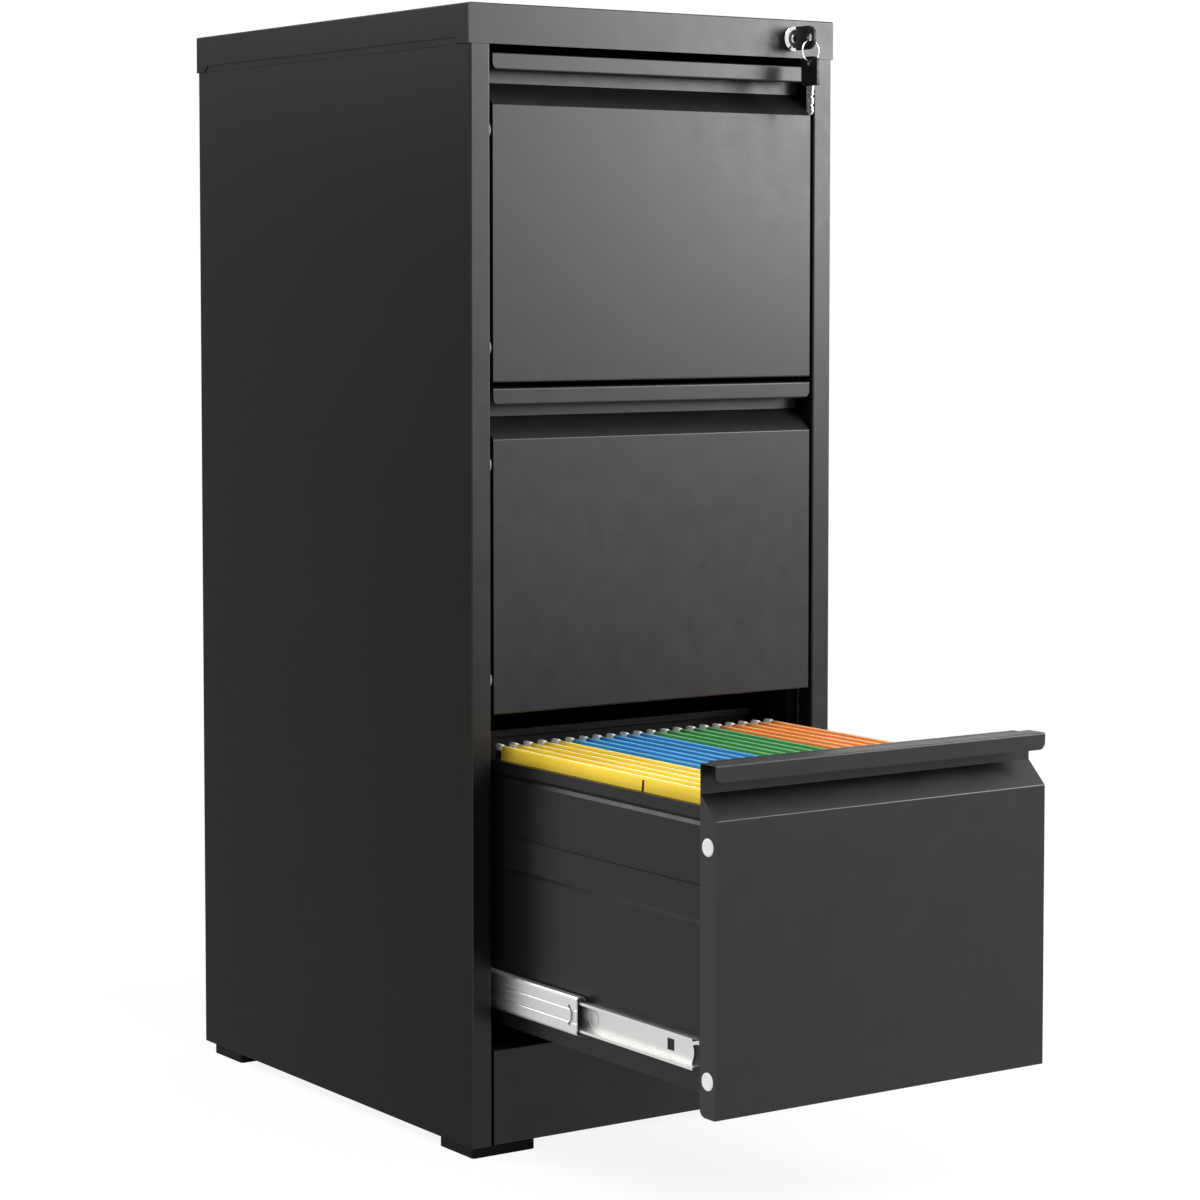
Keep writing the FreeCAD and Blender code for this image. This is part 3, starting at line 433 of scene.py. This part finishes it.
def folder_rows(mesh, section, slit, lo, hi):
    """Rows of vertices along a folder, and those drawn in where its leaves have a tab's slit."""
    start = lo + SLIT_BEHIND_FRONT
    end = start + SLIT_LENGTH
    depths = sorted([lo + (hi - lo) * k / 8 for k in range(9)] + [start, end])
    rows = []
    sunk = set()
    for y in depths:
        row = ring_of(mesh, [(a, y, z) for a, z in section])
        if y in (start, end):
            drawn = [
                vert if a == b else mesh.verts.new((b[0], y, b[1]))
                for vert, a, b in zip(row, section, slit)
            ]
            sunk.update(set(drawn) - set(row))
            rows += [row, drawn] if y == start else [drawn, row]
        else:
            rows.append(row)
    return rows, sunk


def folder_places():
    """The folders' middles across the drawer, from the left, each with its colour."""
    lo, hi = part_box("hanging_folders")
    colours = [colour for colour, number in FOLDER_GROUPS for i in range(number)]
    first = (lo.x + hi.x) / 2 - (len(colours) - 1) * FOLDER_PITCH / 2
    return [(first + i * FOLDER_PITCH, colour) for i, colour in enumerate(colours)]


def hanging_folders():
    """Folders in four colours in place of the plain cards."""
    lo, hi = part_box("hanging_folders")
    for i, (x, colour) in enumerate(folder_places()):
        mesh = bmesh.new()
        top = hi.z + FOLDER_RISE
        section = folder_section(x, top, lo.z)
        slit = folder_section(x, top, lo.z, SLIT_DEPTH)
        rows, sunk = folder_rows(mesh, section, slit, lo.y, hi.y)
        for near, far in zip(rows, rows[1:]):
            for a in range(len(near)):
                b = (a + 1) % len(near)
                corners = list(dict.fromkeys((near[a], near[b], far[b], far[a])))
                if len(corners) > 2:
                    mesh.faces.new(corners)
        for end, flip in ((rows[0], 1), (rows[-1], -1)):
            mesh.faces.new(end[::flip]).material_index = 1
        for face in mesh.faces:
            centre = face.calc_center_median()
            # Painted highlight: faces in the crown band take the lighter card
            if len(face.verts) < 5 and centre.z > top - CROWN_HIGHLIGHT_DEPTH:
                face.material_index = 2
            # Painted shade: the slit's sunk faces take the near-black card
            if sunk.intersection(face.verts):
                face.material_index = 3
        bmesh.ops.recalc_face_normals(mesh, faces=mesh.faces)
        piece = new_piece(f"folder_{i + 1}", mesh, "drawer_3",
                          [CARDS[colour], PAPER, CROWN_HIGHLIGHTS[colour], SHADE], 40)
        if i == 0:
            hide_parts("hanging_folders")


def hook_tips():
    """Rounded plastic tips over the hooks at both ends of the folders' bars."""
    lo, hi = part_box("folder_bars")
    mesh = bmesh.new()
    z = hi.z + HOOK_TIP_RISE - HOOK_TIP[2] / 2
    reach = HOOK_TIP[1] / 2 - HOOK_TIP_PROUD
    for x, colour in folder_places():
        for y in (lo.y + reach, hi.y - reach):
            made = bmesh.ops.create_cube(mesh, size=1.0, matrix=Matrix.Translation(
                (x, y, z)) @ Matrix.Diagonal((*HOOK_TIP, 1)))
            edges = {edge for vert in made["verts"] for edge in vert.link_edges}
            bmesh.ops.bevel(mesh, geom=list(edges), offset=HOOK_TIP_ROUND, segments=3,
                            profile=0.5, affect="EDGES")
    tips = new_piece("folder_hook_tips", mesh, "drawer_3", [TIP], 60)


def slide_balls():
    """Steel balls in the upper and lower rows of each cage."""
    for drawer in DRAWERS:
        for kind in ("outer", "inner"):
            node = f"{drawer}_slide_{kind}_cages"
            lo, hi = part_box(node)
            mesh = bmesh.new()
            for side in SIDES:
                x = side * (hi.x - BALL_INSET[kind])
                for z in (lo.z + BALL_SINK, hi.z - BALL_SINK):
                    for i in range(BALL_COUNT):
                        share = i / (BALL_COUNT - 1)
                        y = lo.y + BALL_END_GAP + share * (hi.y - lo.y - 2 * BALL_END_GAP)
                        bmesh.ops.create_icosphere(
                            mesh, subdivisions=2, radius=BALL_RADIUS,
                            matrix=Matrix.Translation((x, y, z)))
            new_piece(f"{drawer}_{kind}_balls", mesh, node, [BALL], 180)


def plug_caps():
    """Round mushroom caps over the plugs in the fronts' side flanges."""
    profile = [
        (PLUG_RADIUS * 0.86, 0.0), (PLUG_RADIUS, 0.0), (PLUG_RADIUS, PLUG_HEIGHT * 0.35),
        (PLUG_RADIUS * 0.93, PLUG_HEIGHT * 0.85), (PLUG_RADIUS * 0.80, PLUG_HEIGHT),
        (PLUG_RADIUS * 0.72, PLUG_HEIGHT * 0.80), (PLUG_RADIUS * 0.30, PLUG_HEIGHT * 0.74),
    ]
    for drawer in DRAWERS:
        lo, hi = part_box(f"{drawer}_hole_plugs")
        mesh = bmesh.new()
        y = (lo.y + hi.y) / 2
        for side in SIDES:
            base = side * (hi.x - PLUG_HEIGHT)
            for z in (lo.z + PLUG_RADIUS, hi.z - PLUG_RADIUS):
                turn = Matrix.Rotation(side * math.pi / 2, 4, "Y")
                lathe(mesh, profile, Matrix.Translation((base, y, z)) @ turn)
        bmesh.ops.recalc_face_normals(mesh, faces=mesh.faces)
        piece = new_piece(f"{drawer}_plug_caps", mesh, drawer, [PLUG], 50)
        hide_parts(f"{drawer}_hole_plugs")


def tube(mesh, spots, radius, closed, sides=10):
    """Round wire through a list of places."""
    rows = []
    count = len(spots)
    for i, spot in enumerate(spots):
        before = spots[i - 1] if closed or i else spot
        after = spots[(i + 1) % count] if closed or i < count - 1 else spot
        ahead = (after - before).normalized()
        across = ahead.cross(Vector((0, 1, 0))).normalized()
        up = across.cross(ahead)
        rows.append(ring_of(mesh, [
            spot + radius * (across * math.cos(a) + up * math.sin(a))
            for a in [2 * math.pi * k / sides for k in range(sides)]
        ]))
    for i in range(count if closed else count - 1):
        bridge(mesh, rows[i], rows[(i + 1) % count])
    if not closed:
        mesh.faces.new(rows[0][::-1])
        mesh.faces.new(rows[-1])


def plate(mesh, outline, thickness, matrix, holes=()):
    """Flat plate in the local XZ plane with a centred thickness and round holes in it."""
    loops = [outline] + list(holes)
    sides = []
    for y in (-thickness / 2, thickness / 2):
        rows = [ring_of(mesh, [matrix @ Vector((a, y, b)) for a, b in loop]) for loop in loops]
        edges = []
        for row in rows:
            for i in range(len(row)):
                edges.append(mesh.edges.new((row[i], row[(i + 1) % len(row)])))
        bmesh.ops.triangle_fill(mesh, edges=edges, use_beauty=True)
        sides.append(rows)
    for near, far in zip(*sides):
        bridge(mesh, near, far)
    bmesh.ops.recalc_face_normals(mesh, faces=mesh.faces)


def round_corners(points, steps=6):
    """Outline from (x, z, radius) points with arcs at its corners."""
    outline = []
    count = len(points)
    for i, (x, z, radius) in enumerate(points):
        corner = Vector((x, z))
        if radius == 0:
            outline.append((x, z))
            continue
        back = (Vector(points[i - 1][:2]) - corner).normalized()
        ahead = (Vector(points[(i + 1) % count][:2]) - corner).normalized()
        reach = radius / math.tan(back.angle(ahead) / 2)
        centre = corner + (back + ahead).normalized() * radius / math.sin(back.angle(ahead) / 2)
        start = corner + back * reach - centre
        sweep = math.pi - back.angle(ahead)
        turn = 1 if back.x * ahead.y - back.y * ahead.x < 0 else -1
        for k in range(steps + 1):
            a = turn * sweep * k / steps
            outline.append((centre.x + start.x * math.cos(a) - start.y * math.sin(a),
                            centre.y + start.x * math.sin(a) + start.y * math.cos(a)))
    return outline


def circle(x, z, radius, steps=20):
    """Points round a circle, as (x, z)."""
    angles = [2 * math.pi * i / steps for i in range(steps)]
    return [(x + radius * math.cos(a), z + radius * math.sin(a)) for a in angles]


def loose_keys():
    """Ring through the key in the lock, and the second key that hangs from it."""
    lo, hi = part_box("key_head")
    x = (lo.x + hi.x) / 2
    hole_y = lo.y + KEY_HOLE_SETBACK
    seat = (lo.z + hi.z) / 2 - KEY_HOLE_RADIUS
    centre = Vector((x, hole_y, seat + RING_WIRE + RING_SEAT - RING_RADIUS))
    mesh = bmesh.new()
    for shift in (-1, 1):
        spots = [
            centre + Vector((RING_RADIUS * math.cos(a), shift * RING_WIRE * 0.62,
                             RING_RADIUS * math.sin(a)))
            for a in [2 * math.pi * i / 64 for i in range(64)]
        ]
        tube(mesh, spots, RING_WIRE * 0.72, True)
    bmesh.ops.recalc_face_normals(mesh, faces=mesh.faces)
    new_piece("key_ring", mesh, "lock", [NICKEL], 180)
    hang = centre.z - RING_RADIUS + RING_WIRE + RING_SEAT
    top = hang - SPARE_HOLE_RADIUS + SPARE_HOLE_DROP
    place = Matrix.Translation((x, hole_y, 0)) @ Matrix.Rotation(
        math.radians(90 + SPARE_TURN), 4, "Z")
    half = SPARE_HEAD_WIDTH / 2
    low = top - SPARE_HEAD_HEIGHT
    head = round_corners([
        (-half, low, 0.0012), (half, low, 0.0012), (half, top, 0.0060), (-half, top, 0.0060),
    ])
    mesh = bmesh.new()
    hole = circle(0, top - SPARE_HOLE_DROP, SPARE_HOLE_RADIUS)
    plate(mesh, head, SPARE_HEAD_THICKNESS, place, [hole])
    spare = new_piece("spare_key_head", mesh, "lock", [KEY_BLACK], 40)
    mesh = bmesh.new()
    edge = SPARE_BLADE_WIDTH / 2
    tip = low - SPARE_BLADE_LENGTH
    teeth = []
    for i, depth in enumerate(SPARE_TEETH):
        z = low - SPARE_TEETH_START - i * SPARE_TEETH_PITCH
        teeth += [(-edge, z + 0.0016), (-edge + depth, z + 0.0003), (-edge + depth, z - 0.0003)]
    outline = [(edge, low), (-edge, low)] + teeth
    outline += [(-edge, tip + 0.0034), (-0.0022, tip + 0.0008), (-0.0004, tip),
                (0.0016, tip + 0.0010), (edge, tip + 0.0048)]
    plate(mesh, outline, SPARE_BLADE_THICKNESS, place)
    blade = new_piece("spare_key_blade", mesh, "lock", [DULL_NICKEL], 40)
    for piece in (spare, blade):
        round_edges(piece, KEY_EDGE_ROUND)


def round_edges(piece, width):
    """Rounds a piece's sharp edges."""
    bevel = piece.modifiers.new("edges", "BEVEL")
    bevel.width = width
    bevel.segments = 3
    bevel.limit_method = "ANGLE"
    bevel.angle_limit = math.radians(50)


def rounded_key_head():
    """The key's head with its moulded edges rounded."""
    mesh = bmesh.new()
    mesh.from_mesh(cad_nodes["key_head"].data)
    head = new_piece("key_head_moulding", mesh, "lock", [KEY_BLACK], 40)
    round_edges(head, KEY_EDGE_ROUND)
    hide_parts("key_head")


def seen_directly(tree):
    """1 for rays that see the backdrop: from the camera, a mirror-like face or through glass."""
    path = tree.nodes.new("ShaderNodeLightPath")
    signal = path.outputs["Is Camera Ray"]
    for kind in ("Is Glossy Ray", "Is Transmission Ray"):
        both = tree.nodes.new("ShaderNodeMath")
        both.operation = "MAXIMUM"
        tree.links.new(signal, both.inputs[0])
        tree.links.new(path.outputs[kind], both.inputs[1])
        signal = both.outputs[0]
    return signal


def white_world():
    """World that is plain white where it is seen, and a soft even light otherwise."""
    world = bpy.data.worlds.new("studio")
    bpy.context.scene.world = world
    world.use_nodes = True
    tree = world.node_tree
    background = tree.nodes["Background"]
    set_inputs(background, Color=(1, 1, 1, 1))
    level = ranged(tree, seen_directly(tree), To_Min=WORLD_LEVEL, To_Max=1.0)
    tree.links.new(level, background.inputs["Strength"])


def floor_finish():
    """White floor that takes the object's shadow and fades into the backdrop around it."""
    material = bpy.data.materials.new("floor_white")
    material.use_nodes = True
    tree = material.node_tree
    shader = tree.nodes["Principled BSDF"]
    set_inputs(shader, Base_Color=(0.88, 0.88, 0.88, 1), Roughness=0.85)
    glow = tree.nodes.new("ShaderNodeEmission")
    set_inputs(glow, Color=(1, 1, 1, 1), Strength=1.0)
    place = tree.nodes.new("ShaderNodeTexCoord")
    distance = tree.nodes.new("ShaderNodeVectorMath")
    distance.operation = "LENGTH"
    tree.links.new(place.outputs["Object"], distance.inputs[0])
    fade = ranged(tree, distance.outputs["Value"], From_Min=FLOOR_SHADOW_REACH,
                  From_Max=FLOOR_FADE_REACH, To_Min=FLOOR_GLOW, To_Max=1.0)
    share = tree.nodes.new("ShaderNodeMath")
    share.operation = "MULTIPLY"
    tree.links.new(fade, share.inputs[0])
    tree.links.new(seen_directly(tree), share.inputs[1])
    mix = tree.nodes.new("ShaderNodeMixShader")
    tree.links.new(share.outputs[0], mix.inputs["Fac"])
    tree.links.new(shader.outputs["BSDF"], mix.inputs[1])
    tree.links.new(glow.outputs["Emission"], mix.inputs[2])
    tree.links.new(mix.outputs["Shader"], tree.nodes["Material Output"].inputs["Surface"])
    return material


def studio():
    """Floor, backdrop and lamps."""
    white_world()
    data = bpy.data.meshes.new("floor")
    reach = FLOOR_SIZE / 2
    corners = [(-reach, -reach, 0), (reach, -reach, 0), (reach, reach, 0), (-reach, reach, 0)]
    data.from_pydata(corners, [], [(0, 1, 2, 3)])
    floor = bpy.data.objects.new("floor", data)
    bpy.context.scene.collection.objects.link(floor)
    data.materials.append(floor_finish())
    for name, place, aim, size, power in LAMPS:
        lamp(name, place, aim, size, power)


def lamp(name, place, aim, size, power):
    """Rectangular softbox that points at a spot."""
    data = bpy.data.lights.new(name, "AREA")
    data.shape = "RECTANGLE"
    data.size, data.size_y = size
    data.energy = power
    light = bpy.data.objects.new(name, data)
    light.location = place
    light.rotation_euler = (Vector(aim) - Vector(place)).to_track_quat("-Z", "Y").to_euler()
    bpy.context.scene.collection.objects.link(light)


def camera():
    """The photograph's viewpoint."""
    data = bpy.data.cameras.new("camera")
    data.lens = CAMERA_LENS
    data.sensor_width = CAMERA_SENSOR
    data.shift_y = CAMERA_SHIFT
    data.clip_end = 100
    eye = bpy.data.objects.new("camera", data)
    eye.location = CAMERA_PLACE
    eye.rotation_euler = (math.radians(90 - CAMERA_TILT), 0, -math.radians(CAMERA_AZIMUTH))
    bpy.context.scene.collection.objects.link(eye)
    bpy.context.scene.camera = eye


camera()
studio()
dress_frame()
hanging_folders()
hook_tips()
slide_balls()
plug_caps()
rounded_key_head()
loose_keys()
bpy.context.scene.view_settings.view_transform = "Standard"

bpy.context.view_layer.update()
